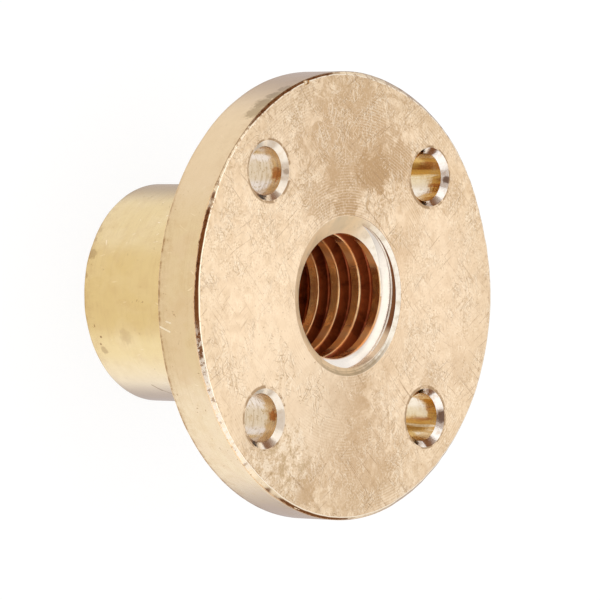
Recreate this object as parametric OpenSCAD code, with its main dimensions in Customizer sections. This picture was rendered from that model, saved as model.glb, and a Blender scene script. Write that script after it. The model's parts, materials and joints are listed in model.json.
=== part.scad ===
// Flanged lead screw nut, turned in one piece from brass bar.
// The nut stands on its barrel's end. +Z runs up the thread's axis to the flange's face,
// and the origin is the middle of the barrel's end.

/* [Flange] */
// Diameter of the flange
flange_d = 24; // [22:0.5:32]
// Thickness of the flange
flange_t = 2.8; // [1.5:0.1:5]

/* [Barrel] */
// Diameter of the barrel behind the flange
barrel_d = 11.9; // [10.5:0.1:14]
// Length of the barrel behind the flange
barrel_l = 11.2; // [6:0.1:24]

/* [Thread] */
// Diameter at the ridges, which is the drilled bore
minor_d = 6.7; // [6.5:0.05:6.9]
// Diameter at the bottom of the groove
root_d = 8.1; // [8:0.05:8.5]
// Diameter at which the groove is half the pitch wide
pitch_d = 7.25; // [7.1:0.05:7.4]
// Rise of the single-start groove in one turn
pitch = 1.5; // [1.2:0.1:2]
// Angle of each flank to the plane across the axis
flank_angle = 15; // [10:1:20]
// Angle from +X at which the middle of the groove meets the flange's face
thread_start = 140; // [0:5:355]

/* [Countersinks of the bore] */
// Diameter of the countersink in the flange's face
mouth_d = 8.6; // [8.6:0.1:9.6]
// Diameter of the countersink in the barrel's end
tail_d = 8.6; // [8.6:0.1:9.6]
// Included angle of both countersinks
mouth_angle = 118; // [90:1:130]

/* [Bolt holes] */
// Number of bolt holes
bolt_count = 4; // [3:1:6]
// Diameter of the circle through the bolt holes
bolt_circle_d = 18.4; // [17:0.1:19.5]
// Diameter of each bolt hole
bolt_hole_d = 2.6; // [2:0.1:3.2]
// Diameter of each bolt hole's countersink
bolt_sink_d = 3.2; // [3.2:0.1:3.6]
// Included angle of the bolt holes' countersinks
bolt_sink_angle = 90; // [60:5:120]
// Angle from +X to the first bolt hole
bolt_start = 45; // [0:5:90]

/* [Edges] */
// Bevel on the rim at the flange's face
rim_bevel = 0.16; // [0.05:0.01:0.4]
// Bevel on the rim at the back of the flange
rim_back_bevel = 0.08; // [0.02:0.01:0.3]
// Bevel on the end of the barrel
barrel_bevel = 0.16; // [0.05:0.01:0.4]

/* [Hidden] */
// Facets of the round surfaces, and steps of the groove in one turn
$fn = 96;
groove_steps = 36;
// How far each cut runs past the surface that it opens
over = 0.5;
face_z = barrel_l + flange_t;
flange_r = flange_d / 2;
barrel_r = barrel_d / 2;
minor_r = minor_d / 2;
root_r = root_d / 2;
pitch_r = pitch_d / 2;
brass = [0.86, 0.73, 0.5];

// Half the groove's width at radius r, from its straight flanks
function groove_half(r) = pitch / 4 - (r - pitch_r) * tan(flank_angle);

// The groove's section in the plane through the axis, as [radius, height] points
function groove_section(r_in, r_out) = [
    [r_in, -groove_half(r_in)],
    [r_out, -groove_half(r_out)],
    [r_out, groove_half(r_out)],
    [r_in, groove_half(r_in)]
];

// One section of the sweep, turned by angle a and lifted by z
function section_at(section, a, z) = [
    for (p = section) [p[0] * cos(a), p[0] * sin(a), p[1] + z]
];

// A section swept up a right-hand helix that passes height z_ref at angle a_ref
module helix(section, z_low, z_high, z_ref, a_ref) {
    corners = len(section);
    turns = (z_high - z_low) / pitch;
    steps = ceil(turns * groove_steps);
    first_angle = a_ref + (z_low - z_ref) / pitch * 360;
    step_angle = 360 / groove_steps;
    points = [
        for (i = [0 : steps])
            each section_at(section, first_angle + i * step_angle,
                            z_low + i * pitch / groove_steps)
    ];
    sides = [
        for (i = [0 : steps - 1], k = [0 : corners - 1])
            let (a = i * corners + k,
                 b = i * corners + (k + 1) % corners)
            [a, b, b + corners, a + corners]
    ];
    start_cap = [for (k = [corners - 1 : -1 : 0]) k];
    end_cap = [for (k = [0 : corners - 1]) steps * corners + k];
    polyhedron(points, concat([start_cap, end_cap], sides), convexity = 10);
}

// The turned blank: flange and barrel, with bevelled edges
module blank() {
    rotate_extrude()
        polygon([
            [0, 0],
            [barrel_r - barrel_bevel, 0],
            [barrel_r, barrel_bevel],
            [barrel_r, barrel_l],
            [flange_r - rim_back_bevel, barrel_l],
            [flange_r, barrel_l + rim_back_bevel],
            [flange_r, face_z - rim_bevel],
            [flange_r - rim_bevel, face_z],
            [0, face_z]
        ]);
}

// A cone that widens upwards from radius r_in and has diameter d at height 0
module countersink(d, r_in, angle) {
    slope = 1 / tan(angle / 2);
    depth = (d / 2 - r_in) * slope;
    translate([0, 0, -depth])
        cylinder(h = depth + over, r1 = r_in, r2 = d / 2 + over / slope);
}

// The threaded bore with its two countersinks
module threaded_bore() {
    translate([0, 0, -over])
        cylinder(h = face_z + 2 * over, r = minor_r);
    translate([0, 0, face_z])
        countersink(mouth_d, minor_r, mouth_angle);
    mirror([0, 0, 1])
        countersink(tail_d, minor_r, mouth_angle);
    helix(groove_section(minor_r - over / 2, root_r),
          -pitch, face_z + pitch, face_z, thread_start);
}

// The ring of bolt holes, each countersunk in the flange's face
module bolt_holes() {
    for (i = [0 : bolt_count - 1])
        rotate([0, 0, bolt_start + i * 360 / bolt_count])
            translate([bolt_circle_d / 2, 0, 0]) {
                translate([0, 0, barrel_l - over])
                    cylinder(h = flange_t + 2 * over, d = bolt_hole_d);
                translate([0, 0, face_z])
                    countersink(bolt_sink_d, bolt_hole_d / 2, bolt_sink_angle);
            }
}

module nut() {
    color(brass)
        difference() {
            blank();
            threaded_bore();
            bolt_holes();
        }
}

nut();
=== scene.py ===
"""Looks of the flanged lead screw nut: a worn, turned brass part on a pale studio floor.

The nut stands on its barrel's end, as in the frame. The mesh is worked out in millimetres and
scaled to metres once, when it is done. Sizes come from the frame's box and the record's mounts,
and the small sizes that the record doesn't hold are named below.
"""

import json
import math
import random

import bpy
from mathutils import Matrix, Vector, noise


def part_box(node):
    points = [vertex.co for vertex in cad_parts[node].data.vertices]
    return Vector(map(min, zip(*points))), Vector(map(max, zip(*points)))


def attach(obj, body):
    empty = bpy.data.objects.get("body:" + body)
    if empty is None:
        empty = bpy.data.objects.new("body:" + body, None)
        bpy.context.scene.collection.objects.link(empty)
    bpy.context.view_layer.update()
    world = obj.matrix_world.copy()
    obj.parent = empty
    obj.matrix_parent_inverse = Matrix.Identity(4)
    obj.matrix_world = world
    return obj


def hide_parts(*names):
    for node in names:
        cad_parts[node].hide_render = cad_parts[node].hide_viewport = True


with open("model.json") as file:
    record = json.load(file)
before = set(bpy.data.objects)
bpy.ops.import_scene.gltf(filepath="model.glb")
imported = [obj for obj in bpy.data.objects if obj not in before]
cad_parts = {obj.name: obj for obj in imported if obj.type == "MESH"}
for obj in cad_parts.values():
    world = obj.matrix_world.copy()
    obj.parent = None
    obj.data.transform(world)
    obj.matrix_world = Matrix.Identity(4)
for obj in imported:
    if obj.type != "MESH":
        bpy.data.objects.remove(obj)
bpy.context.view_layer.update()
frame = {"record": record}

# ---------------------------------------------------------------- sizes, in millimetres

MM = 0.001
MOUNTS = {mount["name"]: mount for mount in frame["record"]["mounts"]}


def mount_size(name, key):
    return MOUNTS[name]["dims"][key]


NUT_LOW, NUT_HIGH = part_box("nut")
FACE_Z = NUT_HIGH.z / MM
FLANGE_R = min(NUT_HIGH.x, NUT_HIGH.y, -NUT_LOW.x, -NUT_LOW.y) / MM
BACK_Z = MOUNTS["flange_back"]["pos_m"][2] / MM
BARREL_R = mount_size("barrel", "r_mm")
BORE_R = mount_size("thread", "r_mm")
HOLE_R = mount_size("bolt_holes", "hole_r_mm")
HOLE_CIRCLE_R = mount_size("bolt_holes", "pcd_mm") / 2
HOLE_COUNT = mount_size("bolt_holes", "count")
HOLE_START = math.radians(45)

PITCH = 1.5
ROOT_R = 4.05
# Where ridge and groove are equally wide
PITCH_R = 3.625
FLANK_SLOPE = math.tan(math.radians(15))
# Where the groove's middle reaches the face
THREAD_START = math.radians(140)
# How big the broken corners are, at the ridge's crest and at the groove's root
CREST_EDGE = 0.07
ROOT_CORNER = 0.05

# The bore's mouths are cones, drawn in to RECESS_R, which lies inside what the thread tool cuts out
MOUTH_R = 4.3
MOUTH_SLOPE = 1 / math.tan(math.radians(59))
RECESS_R = 2.9

# The bolt holes' countersinks. Each strays by SINK_STRAY, in a direction that turns from hole to hole
SINK_R = 1.6
SINK_SLOPE = 1.0
SINK_STRAY = 0.04
SINK_STRAY_TURN = 2.1

RIM_BEVEL = 0.23
BACK_BEVEL = 0.08
END_BEVEL = 0.16
# Where the face's edge is rubbed: angle and spread in degrees, share of the bevel that is lost
RUBBED = [
    (197, 22, 0.4), (231, 13, 0.65), (270, 18, 0.22), (305, 14, 0.3),
    (355, 22, 0.35), (75, 25, 0.45), (130, 15, 0.35),
]

# How far the cutting tools reach past the metal
OVER = 1.0

ROUND_STEPS = 600
THREAD_STEPS = 144
HOLE_STEPS = 96
LENS_STEPS = 10
LENS_ROWS = 7
SHARP_ANGLE = math.radians(22)


# ---------------------------------------------------------------- mesh building

def polar(radius, angle, z):
    return Vector((radius * math.cos(angle), radius * math.sin(angle), z))


def skin(name, rows, low, high, shift=0):
    """A closed solid from rows of points round an axis, ended by fans to the points low and high.

    Past the last step a row goes on as the row `shift` further up, so that rows may climb a helix.
    """
    steps = len(rows[0])
    count = len(rows)
    points = [point for row in rows for point in row]
    faces = []
    for row in range(count - 1):
        for step in range(steps):
            last = step == steps - 1
            across = row + shift if last else row
            if across + 1 >= count:
                continue
            beside = 0 if last else step + 1
            faces.append((
                row * steps + step,
                across * steps + beside,
                (across + 1) * steps + beside,
                (row + 1) * steps + step,
            ))
    bottom = list(range(steps)) + [row * steps for row in range(shift, 0, -1)]
    top = [(count - 1) * steps + step for step in range(steps)]
    top += [row * steps + steps - 1 for row in range(count - 2, count - 2 - shift, -1)]
    for loop, centre in ((bottom[::-1], low), (top, high)):
        points.append(centre)
        for here, there in zip(loop, loop[1:] + loop[:1]):
            faces.append((here, there, len(points) - 1))
    mesh = bpy.data.meshes.new(name)
    mesh.from_pydata(points, [], faces)
    mesh.validate()
    return mesh


def rounded(corners, arc_steps=3):
    """(radius, z) points along a profile. Each corner is (radius, z, rounding, rows to the next)."""
    profile = []
    for k, (radius, z, rounding, rows) in enumerate(corners):
        here = Vector((radius, z))
        if rounding and 0 < k < len(corners) - 1:
            back = (Vector(corners[k - 1][:2]) - here).normalized()
            ahead = (Vector(corners[k + 1][:2]) - here).normalized()
            half = back.angle(ahead) / 2
            reach = rounding / math.tan(half)
            middle = here + (back + ahead).normalized() * rounding / math.sin(half)
            start = here + back * reach
            end = here + ahead * reach
            for step in range(arc_steps + 1):
                spoke = start.lerp(end, step / arc_steps) - middle
                profile.append(middle + spoke.normalized() * rounding)
        else:
            profile.append(here)
        if k < len(corners) - 1 and rows > 1:
            there = Vector(corners[k + 1][:2])
            start = profile[-1]
            end = start.lerp(there, 1 - corners[k + 1][2] / max((there - start).length, 0.001))
            profile += [start.lerp(end, row / rows) for row in range(1, rows)]
    return profile


def ripple(angle, waves, seed):
    """Smooth noise round the axis, about -0.5 to 0.5."""
    return noise.noise(Vector((waves * math.cos(angle), waves * math.sin(angle), seed)))


def rim_bevel(angle):
    """Width of the bevel round the face's edge. It wavers, and is rubbed down in places."""
    width = RIM_BEVEL * (1 + 0.3 * ripple(angle, 3, 0.5) + 0.12 * ripple(angle, 24, 1.5))
    for degrees, spread, share in RUBBED:
        aside = math.remainder(angle - math.radians(degrees), math.tau) / math.radians(spread)
        width *= 1 - share * math.exp(-aside ** 4)
    return width


def blank_profile(angle):
    """The nut's outline at an angle, before the thread and the holes, from one mouth to the other."""
    recess = (MOUTH_R - RECESS_R) * MOUTH_SLOPE
    bevel = rim_bevel(angle)
    back = BACK_BEVEL * (1 + 0.3 * ripple(angle, 9, 2.5))
    end = END_BEVEL * (1 + 0.15 * ripple(angle, 6, 3.5))
    return rounded([
        (RECESS_R, recess, 0, 1),
        (MOUTH_R, 0, 0.04, 3),
        (BARREL_R - end, 0, 0.05, 1),
        (BARREL_R, end, 0.06, 30),
        (BARREL_R, BACK_Z, 0.07, 5),
        (FLANGE_R - back, BACK_Z, 0.02, 1),
        (FLANGE_R, BACK_Z + back, 0.03, 12),
        (FLANGE_R, FACE_Z - bevel, 0.03, 1),
        (FLANGE_R - bevel, FACE_Z, min(0.1, bevel), 20),
        (MOUTH_R, FACE_Z, 0.04, 1),
        (RECESS_R, FACE_Z - recess, 0, 1),
    ])


def blank():
    angles = [step * math.tau / ROUND_STEPS for step in range(ROUND_STEPS)]
    profiles = [blank_profile(angle) for angle in angles]
    rows = [
        [polar(profile[row].x, angle, profile[row].y) for angle, profile in zip(angles, profiles)]
        for row in range(len(profiles[0]))
    ]
    low = Vector((0, 0, profiles[0][0].y))
    high = Vector((0, 0, profiles[0][-1].y))
    return skin("blank", rows, low, high)


def groove_half(radius):
    """Half of the groove's width at a radius."""
    return PITCH / 4 - (radius - PITCH_R) * FLANK_SLOPE


def groove_section():
    """(radius, height) points of the thread tool over one pitch, with the corners broken."""
    half = [
        (BORE_R, PITCH / 2),
        (BORE_R, groove_half(BORE_R) + CREST_EDGE * 0.8),
        (BORE_R + CREST_EDGE * 0.35, groove_half(BORE_R) + CREST_EDGE * 0.2),
        (BORE_R + CREST_EDGE, groove_half(BORE_R + CREST_EDGE)),
        ((BORE_R + ROOT_R) / 2, groove_half((BORE_R + ROOT_R) / 2)),
        (ROOT_R - ROOT_CORNER, groove_half(ROOT_R - ROOT_CORNER)),
        (ROOT_R, groove_half(ROOT_R) - ROOT_CORNER),
    ]
    below = [(radius, -height) for radius, height in half]
    return below + half[:0:-1]


def thread_tool():
    """The solid that is cut out to leave the threaded bore: a right-hand screw."""
    section = groove_section()
    reference = FACE_Z - PITCH * THREAD_START / math.tau
    lowest = math.floor((-OVER - reference) / PITCH) - 2
    highest = math.ceil((FACE_Z + OVER - reference) / PITCH) + 1
    rows = []
    for turn in range(lowest, highest + 1):
        for radius, height in section:
            rows.append([
                polar(radius, step * math.tau / THREAD_STEPS,
                      reference + height + PITCH * (turn + step / THREAD_STEPS))
                for step in range(THREAD_STEPS)
            ])
    low = Vector((0, 0, reference + PITCH * (lowest - 1)))
    high = Vector((0, 0, reference + PITCH * (highest + 2)))
    return skin("thread_tool", rows, low, high, shift=len(section))


def hole_tool(index):
    """A bolt hole with its countersink, which strays a little from the hole's own axis."""
    angle = HOLE_START + index * math.tau / HOLE_COUNT
    centre = polar(HOLE_CIRCLE_R, angle, 0)
    stray = polar(SINK_STRAY, SINK_STRAY_TURN * index, 0)
    deep = (SINK_R - HOLE_R) * SINK_SLOPE
    profile = [
        (HOLE_R, BACK_Z - OVER, 0),
        (HOLE_R, BACK_Z, 0),
        (HOLE_R, FACE_Z - deep, 0),
        (SINK_R, FACE_Z, 1),
        (SINK_R + OVER, FACE_Z + OVER * SINK_SLOPE, 1),
    ]
    rows = []
    for radius, z, share in profile:
        middle = centre + stray * share
        rows.append([
            middle + polar(radius, step * math.tau / HOLE_STEPS, z) for step in range(HOLE_STEPS)
        ])
    low = centre + Vector((0, 0, profile[0][1]))
    high = centre + stray + Vector((0, 0, profile[-1][1]))
    return skin("hole_tool", rows, low, high)


def nick_places():
    """Each nick: angle, radius, z, length along the edge, width and depth, in degrees and millimetres."""
    draw = random.Random(5)
    places = [
        (198, FLANGE_R - 0.1, FACE_Z, 0.45, 0.30, 0.13), (223, FLANGE_R, FACE_Z, 0.70, 0.7, 0.03),
        (236, FLANGE_R, FACE_Z, 0.90, 0.8, 0.03), (243, FLANGE_R, FACE_Z, 0.35, 0.4, 0.04),
        (313, FLANGE_R, FACE_Z, 0.6, 0.6, 0.03),
        (262, FLANGE_R, BACK_Z, 0.35, 0.4, 0.05), (271, FLANGE_R, BACK_Z, 0.30, 0.4, 0.04),
    ]
    drawn = [(FLANGE_R, FACE_Z, 12), (FLANGE_R, BACK_Z, 7), (MOUTH_R, FACE_Z, 8), (BARREL_R, 0, 5)]
    for edge_r, edge_z, count in drawn:
        for _ in range(count):
            degrees = draw.uniform(-70, 180)
            length = draw.uniform(0.3, 1.0)
            width = draw.uniform(0.5, 0.9)
            depth = draw.uniform(0.01, 0.025)
            places.append((degrees, edge_r, edge_z, length, width, depth))
    return places


def edge_direction(angle, edge_r, edge_z):
    """The direction that an edge's bevel faces."""
    out = polar(1, angle, 0)
    up = Vector((0, 0, 1 if edge_z == FACE_Z else -1))
    return (up - out if edge_r == MOUTH_R else up + out).normalized()


def edge_bevel(angle, edge_r, edge_z):
    """Width of an edge's bevel. The mouth's edge has none."""
    if edge_r == MOUTH_R:
        return 0
    return {FACE_Z: rim_bevel(angle), BACK_Z: BACK_BEVEL, 0: END_BEVEL}[edge_z]


def lens(middle, side, face_out, length, width):
    """Points and faces of a lens shape, long towards side and round across it."""
    across = face_out.cross(side)
    points = []
    for row in range(1, LENS_ROWS):
        lean = math.pi * row / LENS_ROWS
        for step in range(LENS_STEPS):
            turn = math.tau * step / LENS_STEPS
            ring = face_out * math.cos(turn) + across * math.sin(turn)
            along = side * (length / 2 * math.cos(lean))
            points.append(middle + along + ring * (width / 2 * math.sin(lean)))
    points += [middle + side * (length / 2), middle - side * (length / 2)]
    first_tip = len(points) - 2
    last_tip = len(points) - 1
    last_row = (LENS_ROWS - 2) * LENS_STEPS
    faces = []
    for step in range(LENS_STEPS):
        beside = (step + 1) % LENS_STEPS
        for here in range(0, last_row, LENS_STEPS):
            there = here + LENS_STEPS
            faces.append((here + beside, there + beside, there + step, here + step))
        faces.append((first_tip, beside, step))
        faces.append((last_tip, last_row + step, last_row + beside))
    return points, faces


def nick_tools():
    """Small lens shapes that bite into the edges, in one mesh."""
    points = []
    faces = []
    for degrees, edge_r, edge_z, length, width, depth in nick_places():
        angle = math.radians(degrees)
        side = polar(1, angle + math.pi / 2, 0)
        face_out = edge_direction(angle, edge_r, edge_z)
        bevel = edge_bevel(angle, edge_r, edge_z)
        surface = polar(edge_r, angle, edge_z) - face_out * bevel / math.sqrt(2)
        middle = surface + face_out * (width / 2 - depth)
        lens_points, lens_faces = lens(middle, side, face_out, length, width)
        first = len(points)
        points += lens_points
        faces += [tuple(first + corner for corner in face) for face in lens_faces]
    mesh = bpy.data.meshes.new("nicks")
    mesh.from_pydata(points, [], faces)
    return mesh


def new_object(name, mesh):
    made = bpy.data.objects.new(name, mesh)
    bpy.context.scene.collection.objects.link(made)
    return made


def cut(piece, tool_mesh):
    """Cuts a closed tool out of piece and deletes the tool."""
    tool = new_object("tool", tool_mesh)
    modifier = piece.modifiers.new("cut", "BOOLEAN")
    modifier.operation = "DIFFERENCE"
    modifier.solver = "MANIFOLD"
    modifier.object = tool
    evaluated = piece.evaluated_get(bpy.context.evaluated_depsgraph_get())
    result = bpy.data.meshes.new_from_object(evaluated)
    piece.modifiers.clear()
    piece.data = result
    bpy.data.objects.remove(tool)


# ---------------------------------------------------------------- camera

def aim_camera():
    """The camera looks down on the standing nut, rolled so that the nut's axis lies across the picture."""
    azimuth = math.radians(-0.127)
    elevation = math.radians(41.646)
    lean = math.radians(1.122)
    distance = 318.92 * MM
    aim = Vector((0.272, 0, 10.537)) * MM
    back = Vector((
        math.sin(azimuth) * math.cos(elevation),
        -math.cos(azimuth) * math.cos(elevation),
        math.sin(elevation),
    ))
    along = (Vector((0, 0, 1)) - back * back.z).normalized()
    right = along * math.cos(lean) + back.cross(along) * math.sin(lean)
    up = back.cross(right)
    camera = bpy.data.cameras.new("camera")
    camera.sensor_width = 36
    camera.lens = 355.6
    camera.clip_start = 0.01
    camera.clip_end = 20
    holder = new_object("camera", camera)
    holder.matrix_world = Matrix((right, up, back)).transposed().to_4x4()
    holder.location = aim + back * distance
    bpy.context.scene.camera = holder


# ---------------------------------------------------------------- node helpers

class Nodes:
    """Adds nodes to a tree. Values may be sockets or plain, and all but add and put return sockets."""

    def __init__(self, owner):
        owner.use_nodes = True
        self.tree = owner.node_tree

    def add(self, kind, inputs=None, **settings):
        node = self.tree.nodes.new(kind)
        for name, value in settings.items():
            setattr(node, name, value)
        for name, value in (inputs or {}).items():
            self.put(node.inputs[name], value)
        return node

    def put(self, socket, value):
        if isinstance(value, bpy.types.NodeSocket):
            self.tree.links.new(value, socket)
        elif hasattr(value, "__len__") and len(value) == 3 and socket.type == "RGBA":
            socket.default_value = (*value, 1)
        else:
            socket.default_value = value

    def math(self, operation, a, b=0.0, c=0.0):
        return self.add("ShaderNodeMath", {0: a, 1: b, 2: c}, operation=operation).outputs[0]

    def times(self, a, b):
        return self.math("MULTIPLY", a, b)

    def plus(self, base, extra, share):
        """The base and a share of something extra."""
        return self.math("MULTIPLY_ADD", extra, share, base)

    def most(self, a, b):
        return self.math("MAXIMUM", a, b)

    def least(self, a, b):
        return self.math("MINIMUM", a, b)

    def vector(self, operation, a, b):
        node = self.add("ShaderNodeVectorMath", {0: a, 1: b}, operation=operation)
        return node.outputs["Value" if operation in ("DOT_PRODUCT", "DISTANCE") else 0]

    def scaled(self, a, factor):
        node = self.add("ShaderNodeVectorMath", {0: a}, operation="SCALE")
        node.inputs["Scale"].default_value = factor
        return node.outputs[0]

    def join(self, x, y, z):
        return self.add("ShaderNodeCombineXYZ", {0: x, 1: y, 2: z}).outputs[0]

    def parts(self, vector):
        return self.add("ShaderNodeSeparateXYZ", {0: vector}).outputs

    def noise(self, vector, scale, detail, roughness=0.5, distortion=0.0):
        return self.add("ShaderNodeTexNoise", {
            "Vector": vector, "Scale": scale, "Detail": detail,
            "Roughness": roughness, "Distortion": distortion,
        }).outputs[0]

    def step(self, value, low, high, to_low=0.0, to_high=1.0):
        """Goes smoothly from to_low to to_high as value goes from low to high."""
        return self.add("ShaderNodeMapRange", {
            "Value": value, "From Min": low, "From Max": high, "To Min": to_low, "To Max": to_high,
        }, interpolation_type="SMOOTHSTEP").outputs[0]

    def mix(self, factor, a, b):
        node = self.add("ShaderNodeMix", data_type="RGBA")
        for socket, value in ((node.inputs[0], factor), (node.inputs[6], a), (node.inputs[7], b)):
            self.put(socket, value)
        return node.outputs[2]

    def bump(self, height, depth):
        inputs = {"Height": height, "Distance": depth, "Strength": 1.0}
        return self.add("ShaderNodeBump", inputs).outputs[0]


# ---------------------------------------------------------------- floor and light

# In metres: how far the floor goes each way, and how far it lies under the nut
FLOOR_REACH = 3.0
FLOOR_DROP = 0.00002
# How bright the floor's own white is, and how much of it the camera sees instead of the lit floor
FLOOR_WHITE = 1.06
FLOOR_WHITE_SHARE = 0.82


def floor_material():
    """White with a soft shadow, and clear to the metal's reflections and from below."""
    material = bpy.data.materials.new("floor")
    nodes = Nodes(material)
    matt = nodes.tree.nodes["Principled BSDF"]
    matt.inputs["Base Color"].default_value = (0.95, 0.95, 0.95, 1)
    matt.inputs["Roughness"].default_value = 0.9
    matt.inputs["Specular IOR Level"].default_value = 0.1
    rays = nodes.add("ShaderNodeLightPath")
    white = nodes.add("ShaderNodeEmission", {"Color": (1, 1, 1), "Strength": FLOOR_WHITE})
    whitened = nodes.add("ShaderNodeMixShader", {
        0: nodes.times(rays.outputs["Is Camera Ray"], FLOOR_WHITE_SHARE),
        1: matt.outputs[0], 2: white.outputs[0],
    })
    clear = nodes.add("ShaderNodeBsdfTransparent")
    from_below = nodes.add("ShaderNodeNewGeometry").outputs["Backfacing"]
    seen = nodes.add("ShaderNodeMixShader", {
        0: nodes.most(rays.outputs["Is Glossy Ray"], from_below),
        1: whitened.outputs[0], 2: clear.outputs[0],
    })
    nodes.put(nodes.tree.nodes["Material Output"].inputs["Surface"], seen.outputs[0])
    return material


def lay_floor():
    sides = ((-1, -1), (1, -1), (1, 1), (-1, 1))
    corners = [(x * FLOOR_REACH, y * FLOOR_REACH, -FLOOR_DROP) for x, y in sides]
    mesh = bpy.data.meshes.new("floor")
    mesh.from_pydata(corners, [], [(0, 1, 2, 3)])
    mesh.materials.append(floor_material())
    new_object("floor", mesh)


# What the metal mirrors: each panel is its direction, the angles from full to none, and its colour
PANELS = [
    ((0, 0.34, 0.94), 12, 27, (1.6, 1.6, 1.62)),
    ((-0.84, -0.1, 0.53), 12, 24, (1.25, 1.25, 1.3)),
    ((0.795, -0.2, 0.573), 12, 28, (1.25, 1.25, 1.3)),
    ((0, -0.747, -0.665), 33, 47, (0.95, 0.88, 0.71)),
    ((0.73, -0.1, -0.66), 14, 34, (1.13, 1.13, 1.1)),
    ((-0.73, -0.1, -0.66), 14, 34, (1.03, 1.02, 1.0)),
    ((0, 0.75, -0.66), 26, 52, (0.58, 0.54, 0.56)),
    ((-0.36, -0.59, 0.72), 11, 14, (0.2, 0.075, 0.025)),
    ((-0.07, -0.66, 0.74), 11, 14, (0.15, 0.05, 0.015)),
    ((0.24, -0.63, 0.73), 11, 14, (0.2, 0.08, 0.03)),
    ((-0.88, 0.36, 0.28), 21, 27, (0.2, 0.09, 0.04)),
    ((0.861, 0.506, 0.051), 18, 25, (0.2, 0.09, 0.04)),
]


def light_studio():
    """White light from all round. Only the metal's reflections show the panels."""
    world = bpy.data.worlds.new("studio")
    nodes = Nodes(world)
    direction = nodes.add("ShaderNodeTexCoord").outputs["Generated"]
    colour = (1.0, 1.0, 1.03)
    for towards, full, none, tint in PANELS:
        facing = nodes.vector("DOT_PRODUCT", direction, Vector(towards).normalized())
        inside = nodes.step(facing, math.cos(math.radians(none)), math.cos(math.radians(full)))
        colour = nodes.mix(inside, colour, tint)
    rays = nodes.add("ShaderNodeLightPath")
    seen = nodes.mix(rays.outputs["Is Glossy Ray"], (1, 1, 1), colour)
    background = nodes.tree.nodes["Background"]
    nodes.put(background.inputs["Color"], seen)
    bpy.context.scene.world = world


# ---------------------------------------------------------------- brass

class Brass(Nodes):
    """One finish of the brass: its colour is laid in layers, and its places are in millimetres.

    The angle goes round the nut's axis: 0 is the photo's bottom, and a quarter turn its right.
    """

    def __init__(self, name, colour=None):
        self.material = bpy.data.materials.new(name)
        super().__init__(self.material)
        self.shader = self.tree.nodes["Principled BSDF"]
        self.shader.inputs["Metallic"].default_value = 1.0
        self.colour = colour
        self.place = self.scaled(self.add("ShaderNodeTexCoord").outputs["Object"], 1 / MM)
        self.x, self.y, self.z = self.parts(self.place)
        squares = self.math("ADD", self.times(self.x, self.x), self.times(self.y, self.y))
        self.radius = self.math("SQRT", squares)
        self.angle = self.math("ARCTAN2", self.y, self.x)

    def grain(self, scale, detail, roughness=0.5, distortion=0.0):
        return self.noise(self.place, scale, detail, roughness, distortion)

    def distance(self, point):
        return self.vector("DISTANCE", self.place, point)

    def facing(self):
        """How far the surface faces up: the z of its normal."""
        return self.parts(self.add("ShaderNodeTexCoord").outputs["Normal"])[2]

    def warp(self, scale, amount):
        """The place, pushed by up to amount along each axis, so that what follows it swirls."""
        push = self.add("ShaderNodeTexNoise", {"Vector": self.place, "Scale": scale}).outputs["Color"]
        return self.vector("ADD", self.place, self.scaled(push, amount))

    def streaks(self, place, turn, length, width, low, high):
        """Fine streaks in one direction, as 0 to 1."""
        turned = self.add("ShaderNodeVectorRotate", {"Vector": place, "Angle": turn})
        stretched = self.vector("MULTIPLY", turned.outputs[0], (1 / length, 1 / width, 1 / length))
        return self.step(self.noise(stretched, 1.0, 1.5), low, high)

    def spot(self, middle, size, strength):
        """The strength within about size of a point, with a ragged rim, else 0."""
        reach = self.math("DIVIDE", self.distance(middle), size)
        ragged = self.plus(reach, self.grain(4.0, 5.0, 0.75), 2.0)
        return self.step(ragged, 2.1, 1.6, 0.0, strength)

    def scratch(self, start, end, width, strength):
        """The strength along the line between two points, else 0."""
        span = end - start
        aside = self.vector("SUBTRACT", self.place, start)
        share = self.vector("DOT_PRODUCT", aside, span / span.length_squared)
        share = self.most(self.least(share, 1.0), 0.0)
        foot = self.join(*(self.times(share, size) for size in span))
        return self.step(self.vector("DISTANCE", aside, foot), width, width / 2, 0.0, strength)

    def cover(self, share, colour):
        """Lays a colour over the one below, as thickly as a share from 0 to 1 says."""
        self.colour = self.mix(share, self.colour, colour)

    def finish(self, roughness, height, depth):
        """Connects the colour, the roughness and a relief of that depth, in metres."""
        self.put(self.shader.inputs["Base Color"], self.colour)
        self.put(self.shader.inputs["Roughness"], roughness)
        self.put(self.shader.inputs["Normal"], self.bump(height, depth))
        return self.material


FACE_BRASS = (0.93, 0.72, 0.49)
RIM_BRASS = (0.82, 0.67, 0.475)
BARREL_BRASS = (0.82, 0.655, 0.385)
EDGE_BRASS = (0.84, 0.68, 0.46)
CREST_BRASS = (0.92, 0.62, 0.33)
# The groove's red-brown, darkened as painted shade
SHADED_GROOVE_BRASS = (0.50, 0.105, 0.026)
TAN = (0.54, 0.34, 0.17)
BROWN = (0.38, 0.22, 0.10)
# A brown for grime, and for painted shade by the flange's back and the barrel's end
GRIME_AND_SHADE = (0.36, 0.20, 0.09)
CREAM = (1.0, 0.86, 0.66)

# Depth of the relief on each finish, in metres
FACE_RELIEF = 7e-6
WALL_RELIEF = 2e-6
BORE_RELIEF = 3e-6
CONE_RELIEF = 5e-6
HOLE_RELIEF = 8e-6
SINK_RELIEF = 9e-6


# ---------------------------------------------------------------- the flange's face

# The turning tool's advance per turn
FEED = 0.15
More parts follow.
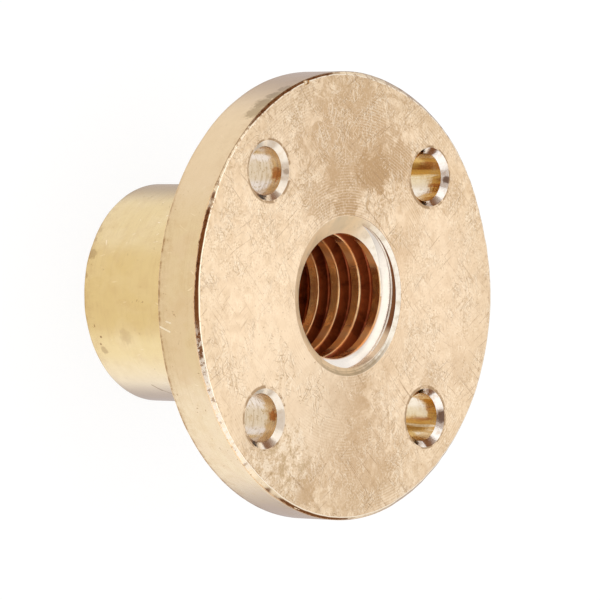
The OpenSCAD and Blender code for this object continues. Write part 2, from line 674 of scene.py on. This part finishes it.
# Tarnish and painted shade on the face: middle x, y, size and strength of each patch
# The broad patches at x -8.6 and 8.6, the picture's top and bottom, are painted shade where the sheen's
# fan is darker
TARNISH_AND_SHADE = [
    (-6.7, 1.8, 1.5, 1.0), (-7.3, 4.0, 1.2, 0.9), (-4.9, -0.3, 1.0, 1.0), (-5.1, -2.7, 1.1, 0.6),
    (-8.6, 0.0, 4.2, 0.7), (9.0, 0.3, 1.4, 0.6), (8.6, 0.5, 3.4, 0.45), (9.0, -6.0, 1.4, 0.8),
    (10.2, -3.4, 1.2, 0.9), (7.9, -7.5, 0.8, 0.7), (3.9, 9.5, 0.9, 0.6), (4.4, 6.9, 0.8, 0.7),
    (-9.6, 6.6, 1.3, 0.15), (-5.6, 8.6, 1.0, 0.5), (5.4, 0.0, 1.9, 0.6), (-2.7, 4.4, 1.1, 0.35),
]
# Middle of the part of the face that is wiped clean
WIPED = (4.5, -5.0, FACE_Z)
# Middle of the part with an even colour
EVEN = (0.8, 8.6, FACE_Z)
# Middle of the part that is rough and flaky
ROUGH = (8.9, -5.2, FACE_Z)


def tarnish_and_shade_patches(brass):
    """Ragged tarnished patches and patches of painted shade, each as strong as its row says."""
    ragged = brass.grain(0.8, 8.0, 0.75, 0.8)
    tarnish_and_shade = 0.0
    for x, y, size, strength in TARNISH_AND_SHADE:
        reach = brass.math("DIVIDE", brass.distance((x, y, FACE_Z)), size)
        reach = brass.plus(brass.math("ADD", reach, 2.0), ragged, -4.0)
        tarnish_and_shade = brass.most(tarnish_and_shade, brass.step(reach, 1.15, 0.75, 0.0, strength))
    return tarnish_and_shade


def feed_lines(brass):
    """The turning tool's rings, from -1 to 1: patchy, and clearest above and below the mouth."""
    feed = brass.math("SINE", brass.times(brass.radius, math.tau / FEED))
    feed = brass.times(feed, brass.step(brass.grain(0.3, 2.0), 0.45, 0.62, 0.1, 1.0))
    upright = brass.math("ABSOLUTE", brass.math("COSINE", brass.angle))
    return brass.times(feed, brass.step(upright, 0.3, 0.7, 0.2, 1.0))


def face_streaks(brass):
    """Dark and pale streaks that swirl over the busy parts of the face, as 0 to 1."""
    swirled = brass.warp(0.35, 1.6)
    busy = brass.step(brass.grain(0.55, 5.0, 0.65), 0.44, 0.60)
    width = 0.07
    dark = 0.0
    pale = 0.0
    for turn, length in ((0.5, 0.7), (1.9, 0.4), (2.7, 1.1)):
        dark = brass.most(dark, brass.streaks(swirled, turn, length, width, 0.58, 0.68))
        pale = brass.most(pale, brass.streaks(swirled, turn + 0.3, length, width, 0.57, 0.66))
    return brass.times(dark, busy), brass.times(pale, busy)


def hairlines(brass):
    """Long fine scratches in two directions, as 0 to 1."""
    one_way = brass.streaks(brass.warp(0.12, 2.0), 0.9, 3.0, 0.06, 0.69, 0.715)
    other_way = brass.streaks(brass.warp(0.12, 2.5), 2.3, 3.5, 0.06, 0.69, 0.715)
    return brass.most(one_way, other_way)


def lay_tones(brass, mottle, feed, calm):
    """The face's broad tones: clouds, smears, tarnished patches, painted shade and the tool's rings,
    evened out in places, and darker towards the rim.
    """
    cloud = brass.grain(0.35, 6.0, 0.65, 0.5)
    smear = brass.noise(brass.warp(0.8, 1.0), 0.9, 5.0, 0.6)
    brass.cover(brass.step(cloud, 0.42, 0.62, 0.0, 0.5), (0.67, 0.46, 0.26))
    brass.cover(brass.step(smear, 0.50, 0.60, 0.0, 0.3), (0.63, 0.42, 0.23))
    # Tarnished patches, and broad patches of painted shade at the picture's top and bottom
    brass.cover(tarnish_and_shade_patches(brass), TAN)
    brass.cover(brass.step(mottle, 0.42, 0.66, 0.0, 0.34), (0.61, 0.40, 0.21))
    brass.cover(brass.step(feed, 0.0, 1.0, 0.0, 0.28), TAN)
    brass.cover(brass.step(feed, 0.0, -1.0, 0.0, 0.26), CREAM)
    wiped_share = brass.step(brass.x, -4.5, -1.0, 0.35, 0.65)
    brass.cover(brass.times(calm, wiped_share), (0.89, 0.70, 0.485))
    brass.cover(brass.step(brass.distance(EVEN), 7.0, 3.5, 0.0, 0.52), (0.81, 0.625, 0.43))
    brass.cover(brass.step(brass.radius, 9.0, 11.8, 0.0, 0.2), (0.66, 0.50, 0.30))


def lay_grit(brass, calm):
    """Pale and dark grains, few where the photo's lower half is calm, and crumbs on the rough part."""
    grit = brass.grain(8.0, 3.0, 0.7)
    crumbs = brass.grain(1.5, 4.0, 0.7)
    calm_share = brass.step(brass.x, -2.5, 1.5, 1.2, 0.35)
    gritty = brass.step(brass.grain(0.8, 5.0, 0.7), 0.42, 0.60, 0.25, 1.0)
    gritty = brass.times(gritty, brass.step(calm, 0.0, 1.0, 1.0, calm_share))
    rough = brass.step(brass.plus(brass.distance(ROUGH), brass.grain(0.7, 4.0, 0.6), 3.0), 4.3, 3.0)
    gritty = brass.most(gritty, rough)
    brass.cover(brass.times(gritty, brass.step(grit, 0.50, 0.62, 0.0, 0.48)), CREAM)
    brass.cover(brass.times(gritty, brass.step(grit, 0.50, 0.38, 0.0, 0.45)), (0.50, 0.34, 0.18))
    brass.cover(brass.times(rough, brass.step(crumbs, 0.50, 0.60, 0.0, 0.6)), (0.50, 0.34, 0.17))
    brass.cover(brass.times(rough, brass.step(crumbs, 0.48, 0.42, 0.0, 0.5)), CREAM)


def lay_hole_outlines(brass):
    """A thin dark line round each bolt hole, broken here and there."""
    folded = brass.join(brass.math("ABSOLUTE", brass.x), brass.math("ABSOLUTE", brass.y), 0.0)
    from_hole = brass.vector("DISTANCE", folded, polar(HOLE_CIRCLE_R, HOLE_START, 0))
    outline = brass.step(from_hole, SINK_R + 0.17, SINK_R + 0.09)
    unbroken = brass.step(brass.grain(1.6, 4.0, 0.6), 0.44, 0.54, 0.1, 0.85)
    brass.cover(brass.times(outline, unbroken), (0.36, 0.22, 0.11))


def lay_edge_specks(brass):
    """Brown specks on the face, near its edge."""
    specks = brass.step(brass.grain(4.0, 4.0, 0.75), 0.55, 0.62)
    specks = brass.times(specks, brass.step(brass.grain(0.45, 3.0), 0.42, 0.6, 0.15, 1.0))
    specks = brass.times(specks, brass.step(brass.radius, FLANGE_R - 1.4, FLANGE_R - 0.4))
    brass.cover(brass.times(specks, 0.6), BROWN)


def face_brass():
    """The flat turned faces, whose sheen fans out from the axis, tarnished and scratched, with painted
    shade where the fan is darker.
    """
    brass = Brass("turned_face", FACE_BRASS)
    feed = feed_lines(brass)
    mottle = brass.grain(2.0, 4.0, 0.6)
    wiped = brass.step(brass.distance(WIPED), 7.0, 3.0)
    calm = brass.most(wiped, brass.step(brass.y, -1.5, -6.0, 0.0, 0.7))
    lay_tones(brass, mottle, feed, calm)
    lay_grit(brass, calm)
    dark, pale = face_streaks(brass)
    hairs = brass.times(hairlines(brass), brass.step(wiped, 0.0, 1.0, 1.0, 0.35))
    pits = brass.step(brass.grain(6.0, 2.0, 0.6), 0.68, 0.72)
    brass.cover(brass.times(pale, 0.5), CREAM)
    brass.cover(brass.times(dark, brass.step(calm, 0.0, 1.0, 0.45, 0.62)), (0.46, 0.29, 0.14))
    brass.cover(brass.times(hairs, 0.55), BROWN)
    brass.cover(brass.times(pits, 0.75), BROWN)
    lay_hole_outlines(brass)
    lay_edge_specks(brass)
    height = brass.noise(brass.join(brass.times(brass.radius, 9.0), brass.angle, 0.0), 1.0, 3.0)
    for relief, share in ((feed, 0.15), (dark, -0.6), (pale, 0.6), (hairs, -1.0), (mottle, 1.2)):
        height = brass.plus(height, relief, share)
    brass.shader.inputs["Anisotropic"].default_value = 0.85
    brass.shader.inputs["Anisotropic Rotation"].default_value = 0.25
    tangent = brass.add("ShaderNodeTangent", direction_type="RADIAL", axis="Z")
    brass.put(brass.shader.inputs["Tangent"], tangent.outputs[0])
    return brass.finish(brass.step(mottle, 0.3, 0.8, 0.30, 0.42), height, FACE_RELIEF)


# ---------------------------------------------------------------- the rim and the barrel

# Brown marks on the barrel: angle in degrees, z, size and strength
BARREL_SPOTS = [
    (250, 0.36, 0.34, 0.42), (294.6, 0.96, 0.09, 0.9), (298.7, 0.79, 0.08, 0.8), (302.5, 0.88, 0.26, 0.45),
    (294, 2.84, 0.5, 0.22), (236, 0.3, 0.2, 0.3), (242, 0.2, 0.2, 0.35), (262, 0.2, 0.2, 0.4),
]
# Scratches: the angle in degrees and z of each end, and the strength
BARREL_SCRATCHES = [((327.8, 2.72), (333.5, 3.0), 0.75), ((331, 2.9), (338.5, 3.5), 0.6)]
# Brown stains on the rim, beside the face's edge
RIM_SPOTS = [(205, 13.7, 0.5, 0.6), (209, 13.65, 0.6, 0.8), (213, 13.55, 0.7, 0.8), (217, 13.5, 0.6, 0.7)]
RIM_SCRATCHES = [((278.6, 11.35), (279.8, 12.0), 0.8), ((277.2, 11.8), (277.6, 12.1), 0.6)]
SCRATCH_WIDTH = 0.06


def spots_on(brass, radius, spots):
    """How strongly a round wall is spotted, as 0 to 1."""
    marks = 0.0
    for degrees, z, size, strength in spots:
        middle = polar(radius, math.radians(degrees), z)
        marks = brass.most(marks, brass.spot(middle, size, strength))
    return marks


def scratches_on(brass, radius, scratches):
    """How strongly a round wall is scratched, as 0 to 1."""
    marks = 0.0
    for start, end, strength in scratches:
        ends = [polar(radius, math.radians(degrees), z) for degrees, z in (start, end)]
        marks = brass.most(marks, brass.scratch(*ends, SCRATCH_WIDTH, strength))
    return marks


def grime_and_shade(brass):
    """Grime and painted shade on both sides of the level of the flange's back, in the corner under the
    flange, and at the barrel's end, as 0 to 1.
    """
    from_corner = brass.math("ABSOLUTE", brass.math("SUBTRACT", brass.z, BACK_Z))
    from_edge = brass.least(from_corner, brass.z)
    thick = brass.step(from_edge, 0.28, 0.12)
    thin = brass.step(from_edge, 1.0, 0.1, 0.0, 0.25)
    patchy = brass.step(brass.grain(2.6, 4.0, 0.7), 0.38, 0.62, 0.25, 1.0)
    return brass.times(brass.math("ADD", thick, thin), patchy)


def lay_wall(brass, stain):
    """What rim and barrel share: stains, rubbed spots, pits, and grime with painted shade. Returns
    roughness and relief.
    """
    blotch = brass.grain(0.45, 6.0, 0.6, 0.6)
    mottle = brass.grain(1.3, 5.0, 0.65)
    round_axis = brass.join(brass.times(brass.z, 7.0), brass.times(brass.angle, 2.0), 0.0)
    lines = brass.noise(round_axis, 1.0, 3.0)
    pits = brass.step(brass.grain(4.5, 2.0, 0.6), 0.66, 0.71)
    soiled = brass.step(brass.grain(0.9, 4.0, 0.6), 0.48, 0.64)
    rubs = brass.streaks(brass.warp(0.3, 4.0), 1.3, 0.8, 0.10, 0.71, 0.75)
    brass.cover(brass.step(blotch, 0.42, 0.58), stain)
    brass.cover(brass.step(mottle, 0.40, 0.75, 0.0, 0.35), (0.70, 0.50, 0.28))
    brass.cover(brass.step(lines, 0.5, 0.75, 0.0, 0.15), (0.60, 0.42, 0.24))
    brass.cover(brass.times(rubs, 0.6), CREAM)
    brass.cover(brass.times(brass.times(pits, soiled), 0.8), BROWN)
    # Grime, and painted shade in the corner under the flange and at the barrel's end
    brass.cover(brass.times(grime_and_shade(brass), 0.7), GRIME_AND_SHADE)
    return brass.step(mottle, 0.3, 0.8, 0.18, 0.28), brass.plus(mottle, lines, 0.5)


def rim_brass():
    """The flange's rim, darker at the picture's top as painted shade, with stains there beside the face's
    edge.
    """
    brass = Brass("turned_rim", RIM_BRASS)
    roughness, height = lay_wall(brass, (0.81, 0.65, 0.47))
    smudge = brass.times(brass.step(brass.z, FACE_Z - 1.7, FACE_Z - 0.2), brass.step(brass.x, -4.5, -8.0))
    smudge = brass.times(smudge, brass.step(brass.grain(1.6, 5.0, 0.75), 0.45, 0.60, 0.0, 0.8))
    brass.cover(smudge, (0.50, 0.32, 0.18))
    # Painted shade: darker and yellower towards -x, the picture's top
    brass.cover(brass.step(brass.x, -3.0, -6.5, 0.0, 0.8), (0.79, 0.60, 0.38))
    brass.cover(spots_on(brass, FLANGE_R, RIM_SPOTS), (0.36, 0.25, 0.12))
    brass.cover(scratches_on(brass, FLANGE_R, RIM_SCRATCHES), (1.0, 0.92, 0.82))
    return brass.finish(roughness, height, WALL_RELIEF)


def barrel_brass():
    """The barrel, yellower than the rim, and paler at the picture's bottom as a painted reflection."""
    brass = Brass("turned_barrel", BARREL_BRASS)
    roughness, height = lay_wall(brass, (0.80, 0.63, 0.35))
    # Painted reflection: paler and greyer towards +x, the picture's bottom
    brass.cover(brass.step(brass.x, 3.0, 5.5, 0.0, 0.75), (0.83, 0.71, 0.57))
    spots = spots_on(brass, BARREL_R, BARREL_SPOTS)
    scratches = scratches_on(brass, BARREL_R, BARREL_SCRATCHES)
    brass.cover(brass.most(spots, scratches), (0.33, 0.20, 0.10))
    return brass.finish(roughness, height, WALL_RELIEF)


def edge_brass():
    """The bevels: bright, with a painted highlight where they turn up to the face, with grime, scuffed at
    the picture's lower left and torn beside the rim.
    """
    brass = Brass("worn_edge", EDGE_BRASS)
    mottle = brass.grain(2.5, 4.0, 0.6)
    scuff_side = brass.step(brass.vector("DOT_PRODUCT", brass.place, (0.50, -0.87, 0.0)), 10.8, 11.5)
    scuffed = brass.times(scuff_side, brass.step(brass.grain(3.0, 4.0, 0.7), 0.42, 0.55, 0.15, 1.0))
    worse = brass.plus(brass.step(brass.x, 3.0, -5.0, 0.0, 0.13), scuff_side, 0.08)
    grime = brass.step(brass.math("ADD", brass.grain(3.1, 4.0, 0.7), worse), 0.64, 0.72)
    near_rim = brass.plus(brass.radius, brass.grain(5.0, 3.0, 0.7), 0.1)
    torn = brass.step(near_rim, FLANGE_R, FLANGE_R + 0.04)
    torn_tint = brass.mix(brass.step(brass.x, -5.0, -7.0), (1.0, 0.66, 0.34), (0.30, 0.17, 0.08))
    # Painted highlight: a cream line on the rounding that turns up to the face, joined here with the pale
    # scuffs
    pale = brass.most(brass.times(scuffed, 0.8), brass.step(brass.facing(), 0.90, 0.97, 0.0, 0.7))
    brass.cover(brass.step(mottle, 0.4, 0.75, 0.0, 0.6), (0.70, 0.5, 0.3))
    brass.cover(pale, (1.0, 0.91, 0.77))
    brass.cover(brass.times(torn, 0.7), torn_tint)
    brass.cover(brass.times(grime, 0.7), GRIME_AND_SHADE)
    return brass.finish(brass.step(brass.most(torn, scuffed), 0.0, 1.0, 0.12, 0.42), mottle, WALL_RELIEF)


# ---------------------------------------------------------------- the bore and the bolt holes

# Dark marks in the countersinks: x, y and size
SINK_SPOTS = [(-6.5, -5.05, 0.22), (-6.4, 8.05, 0.25), (6.5, 8.05, 0.4)]
# Brown burns on the left holes' walls: x and size
HOLE_BURNS = [(-6.4, 0.4), (6.4, 0.3)]


def crest_tint_and_light(brass, mottle, aside, lit):
    """The ridges' colour: patchy, with painted orange light and a painted glint on both sides of the
    picture's right.
    """
    place = brass.join(brass.times(brass.angle, 3.0), brass.times(brass.z, 0.5), 3.0)
    sectors = brass.noise(place, 1.0, 3.0, 0.6)
    tint = brass.mix(brass.step(mottle, 0.4, 0.75, 0.0, 0.6), CREST_BRASS, (0.75, 0.45, 0.22))
    tint = brass.mix(brass.step(sectors, 0.42, 0.58, 0.0, 0.45), tint, (0.55, 0.24, 0.10))
    # Painted light: orange on the ridges on both sides of the picture's right, and a painted glint there
    tint = brass.mix(lit, tint, (1.0, 0.42, 0.13))
    from_glint = brass.math("ABSOLUTE", brass.math("SUBTRACT", aside, 0.68))
    return brass.mix(brass.step(from_glint, 0.16, 0.0, 0.0, 0.6), tint, (1.0, 0.56, 0.26))


def shaded_groove_tint(brass, mottle, root, depth):
    """The groove's red-brown, darkened as painted shade and patchy, with painted light on one side of its
    root near the bore's ends and painted shade on the other.
    """
    patchy = brass.noise(brass.join(brass.times(brass.angle, 2.2), brass.z, 7.0), 1.0, 4.0, 0.65)
    # Painted light and shade at the root near the bore's ends: pale on one side, dark on the other
    root_light_and_shade = brass.mix(brass.step(brass.angle, 1.2, 1.0), (0.26, 0.10, 0.04), (1.0, 0.78, 0.55))
    tint = brass.mix(brass.step(mottle, 0.4, 0.75, 0.0, 0.7), SHADED_GROOVE_BRASS, (0.30, 0.06, 0.015))
    tint = brass.mix(brass.step(patchy, 0.45, 0.60, 0.0, 0.75), tint, (0.17, 0.025, 0.006))
    return brass.mix(brass.times(root, brass.step(depth, 1.8, 1.5)), tint, root_light_and_shade)


def bore_brass():
    """Worn ridges with painted light, dull red-brown grooves darkened as painted shade, and near the
    bore's ends pale flanks painted as a reflection of white light.
    """
    brass = Brass("cut_thread")
    mottle = brass.grain(2.5, 5.0, 0.65)
    groove = brass.step(brass.radius, BORE_R + 0.03, BORE_R + 0.12)
    root = brass.step(brass.radius, ROOT_R - 0.1, ROOT_R - 0.03)
    depth = brass.least(brass.z, brass.math("SUBTRACT", FACE_Z, brass.z))
    depths_and_root = brass.most(brass.step(depth, 1.02, 1.12), root)
    aside = brass.math("ABSOLUTE", brass.math("SUBTRACT", brass.angle, math.pi / 2))
    lit = brass.times(brass.step(aside, 0.35, 0.65), brass.step(aside, 1.2, 0.9))
    brass.colour = crest_tint_and_light(brass, mottle, aside, lit)
    brass.cover(groove, shaded_groove_tint(brass, mottle, root, depth))
    # Painted shade: the thread's surfaces that face down are darker
    brass.cover(brass.step(brass.facing(), -0.1, -0.4), (0.3, 0.1, 0.04))
    # Painted reflection: near the bore's ends the flanks are near-white, in two shades round the bore
    flank_reflection_tint = brass.mix(brass.step(brass.angle, 0.6, 0.35), (0.70, 0.63, 0.54), (0.86, 0.79, 0.70))
    brass.cover(brass.times(brass.math("SUBTRACT", 1.0, depths_and_root), groove), flank_reflection_tint)
    lit_ridges = brass.times(lit, brass.math("SUBTRACT", 1.0, groove))
    dull = brass.most(brass.times(groove, depths_and_root), lit_ridges)
    brass.put(brass.shader.inputs["Metallic"], brass.step(dull, 0.0, 1.0, 1.0, 0.4))
    brass.shader.inputs["Specular IOR Level"].default_value = 0.15
    along_thread = brass.join(brass.times(brass.angle, 14.0), brass.times(brass.z, 0.6), 0.0)
    height = brass.plus(mottle, brass.noise(along_thread, 1.0, 3.0), 0.5)
    return brass.finish(brass.step(mottle, 0.3, 0.8, 0.14, 0.26), height, BORE_RELIEF)


def cone_brass():
    """The bore's countersunk mouth, scraped and half matt, with painted light that makes it brighter on
    both sides, palest on one, and painted shade at its lower edge and near its top.
    """
    brass = Brass("countersunk_mouth", (0.80, 0.58, 0.34))
    mottle = brass.grain(2.0, 5.0, 0.65)
    rightward = brass.math("SINE", brass.angle)
    # Painted light: near-white on the picture's right, brighter orange on its left
    brass.cover(brass.step(rightward, 0.1, 0.8), (1.0, 0.92, 0.78))
    brass.cover(brass.step(rightward, -0.5, -0.9), (1.0, 0.74, 0.45))
    brass.cover(brass.step(mottle, 0.42, 0.72, 0.0, 0.6), (0.58, 0.43, 0.26))
    from_bottom = brass.math("SUBTRACT", brass.angle, math.radians(10))
    lower = brass.step(brass.math("COSINE", from_bottom), 0.60, 0.90)
    # Painted shade along the cone's outer edge towards the picture's bottom
    shade = brass.step(brass.plus(brass.radius, mottle, 0.5), MOUTH_R - 0.05, MOUTH_R + 0.2, 0.0, 0.6)
    brass.cover(brass.times(shade, lower), (0.34, 0.24, 0.13))
    lines = brass.step(brass.math("SINE", brass.times(brass.radius, math.tau / 0.13)), 0.2, 0.9, 0.0, 0.6)
    lines = brass.times(lines, brass.step(brass.radius, MOUTH_R - 0.4, MOUTH_R - 0.25))
    brass.cover(brass.times(lines, lower), (0.40, 0.28, 0.15))
    # Painted shade: a soft darker spot near the mouth's top
    brass.cover(brass.spot((-3.9, -0.6, FACE_Z - 0.25), 0.7, 0.3), (0.40, 0.33, 0.22))
    brass.shader.inputs["Metallic"].default_value = 0.45
    rings = brass.noise(brass.join(brass.times(brass.radius, 12.0), brass.angle, 0.0), 1.0, 2.0)
    return brass.finish(0.34, brass.plus(rings, mottle, 1.0), CONE_RELIEF)


def banded_tint(brass, mottle, deep):
    """Gold and brown bands along the hole, and deeper in, on the side towards the flange's middle, a pale
    painted reflection of white light.
    """
    bands = brass.noise(brass.join(brass.times(brass.x, 2.2), 0.0, brass.times(brass.z, 0.25)), 1.0, 2.0)
    tint = brass.mix(brass.step(bands, 0.36, 0.5), (0.42, 0.18, 0.05), (0.68, 0.43, 0.14))
    tint = brass.mix(brass.step(bands, 0.54, 0.62), tint, (0.95, 0.85, 0.70))
    # Painted reflection: pale deeper in, on the side towards the flange's middle
    from_middle = brass.plus(brass.math("ABSOLUTE", brass.x), mottle, 0.4)
    inner = brass.step(from_middle, 6.95, 6.55, 0.0, 0.85)
    return brass.mix(brass.times(inner, deep), tint, (0.92, 0.84, 0.74))


def chattered_tint(brass, marks, deep):
    """Brass with chatter marks and brown specks, burnt brown by the lip, and paler and greyer deeper in as
    a painted reflection of white light.
    """
    # Painted reflection: paler and greyer deeper in the hole
    tint = brass.mix(deep, (0.66, 0.45, 0.24), (0.80, 0.70, 0.62))
    tint = brass.mix(brass.step(marks, 0.5, 0.65, 0.0, 0.6), tint, (0.55, 0.42, 0.30))
    specks = brass.step(brass.grain(5.0, 2.0, 0.6), 0.58, 0.66, 0.0, 0.55)
    tint = brass.mix(specks, tint, (0.42, 0.29, 0.17))
    burnt = brass.step(brass.grain(1.4, 4.0, 0.6), 0.54, 0.62)
    lip = brass.step(brass.z, FACE_Z - 0.7, FACE_Z - 0.5)
    tint = brass.mix(brass.times(burnt, lip), tint, (0.36, 0.14, 0.05))
    for x, size in HOLE_BURNS:
        tint = brass.mix(brass.spot((x, -5.25, FACE_Z - 0.6), size, 0.9), tint, (0.42, 0.15, 0.04))
    return tint


def hole_brass():
    """The bolt holes' walls: chattered in the photo's left holes, banded in its right ones."""
    brass = Brass("drilled_hole")
    mottle = brass.grain(2.5, 5.0, 0.65)
    marks = brass.noise(brass.vector("MULTIPLY", brass.place, (1.2, 1.2, 9.0)), 1.0, 3.0, 0.6)
    deep = brass.step(brass.plus(brass.z, mottle, 1.2), FACE_Z - 0.2, FACE_Z - 0.6)
    brass.colour = chattered_tint(brass, marks, deep)
    brass.cover(brass.step(brass.y, -1.0, 1.0), banded_tint(brass, mottle, deep))
    brass.cover(brass.step(mottle, 0.5, 0.75, 0.0, 0.5), (0.60, 0.42, 0.22))
    return brass.finish(0.22, brass.math("ADD", mottle, marks), HOLE_RELIEF)


def sink_brass():
    """The bolt holes' countersinks: bright from the cut, near-white and warmer on the picture's left as a
    painted reflection, and less like a mirror on some sides.
    """
    # Painted reflection: the near-white colour stands in for white light mirrored in the countersinks
    brass = Brass("countersunk_hole", (1.0, 0.93, 0.84))
    mottle = brass.grain(3.0, 5.0, 0.7)
    brass.cover(brass.step(mottle, 0.46, 0.7, 0.0, 0.6), (0.70, 0.52, 0.34))
    for x, y, size in SINK_SPOTS:
        brass.cover(brass.spot((x, y, FACE_Z - 0.1), size, 0.85), (0.20, 0.09, 0.04))
    # Painted reflection: warmer on the picture's left
    brass.cover(brass.step(brass.y, 1.0, -1.0, 0.0, 0.45), (1.0, 0.84, 0.62))
    hole_x = brass.times(brass.math("SIGN", brass.x), polar(HOLE_CIRCLE_R, HOLE_START, 0).x)
    above = brass.math("SUBTRACT", hole_x, brass.x)
    right_side = brass.step(brass.y, -6.1, -5.3, 0.92, 0.25)
    upper_side = brass.step(above, 0.0, 1.0, 0.92, 0.25)
    metal = brass.most(brass.least(right_side, upper_side), brass.step(brass.y, -1.0, 1.0))
    metal = brass.least(metal, brass.step(brass.y, 6.9, 7.7, 1.0, 0.5))
    brass.put(brass.shader.inputs["Metallic"], metal)
    return brass.finish(0.10, mottle, SINK_RELIEF)


FINISHES = [
    face_brass, rim_brass, barrel_brass, edge_brass, bore_brass, cone_brass, hole_brass, sink_brass,
]
FACE, RIM, BARREL, EDGE, BORE, CONE, HOLE, SINK = range(len(FINISHES))

# How far up or down a normal points, from 0 to 1: at least on a flat surface, at most on an upright one
FLAT = 0.999
UPRIGHT = 0.05
# The same for the mouths' cones, and how far those reach in from the nut's ends
CONE_SLOPE_LOW = 0.6
CONE_SLOPE_HIGH = 0.95
CONE_DEPTH = 0.65


def finish_at(middle, normal):
    """Which finish the surface has at a point, in millimetres, with that normal."""
    radius = math.hypot(middle.x, middle.y)
    spacing = math.tau / HOLE_COUNT
    angle = math.atan2(middle.y, middle.x) - HOLE_START
    aside = angle - round(angle / spacing) * spacing
    from_hole = math.hypot(radius * math.cos(aside) - HOLE_CIRCLE_R, radius * math.sin(aside))
    slope = abs(normal.z)
    if slope > FLAT:
        return FACE
    if radius < MOUTH_R + 0.05:
        near_end = min(middle.z, FACE_Z - middle.z) < CONE_DEPTH
        sloping = CONE_SLOPE_LOW < slope < CONE_SLOPE_HIGH
        return CONE if near_end and sloping and radius > BORE_R else BORE
    if from_hole < SINK_R + 0.03 and middle.z > BACK_Z - 0.01:
        return SINK if slope > UPRIGHT else HOLE
    if slope > UPRIGHT:
        return EDGE
    return RIM if middle.z > BACK_Z else BARREL


def paint(piece):
    """Gives every face of the piece its finish, while its mesh is still in millimetres."""
    mesh = piece.data
    mesh.materials.clear()
    for finish in FINISHES:
        mesh.materials.append(finish())
    for polygon in mesh.polygons:
        polygon.material_index = finish_at(polygon.center, polygon.normal)


# ---------------------------------------------------------------- the nut

def build_nut():
    piece = new_object("brass_nut", blank())
    cut(piece, thread_tool())
    for index in range(HOLE_COUNT):
        cut(piece, hole_tool(index))
    cut(piece, nick_tools())
    paint(piece)
    piece.data.transform(Matrix.Scale(MM, 4))
    for polygon in piece.data.polygons:
        polygon.use_smooth = True
    piece.data.set_sharp_from_angle(angle=SHARP_ANGLE)
    return piece


aim_camera()
lay_floor()
light_studio()
nut = build_nut()
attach(nut, "root")
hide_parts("nut")
bpy.context.scene.view_settings.view_transform = "Standard"
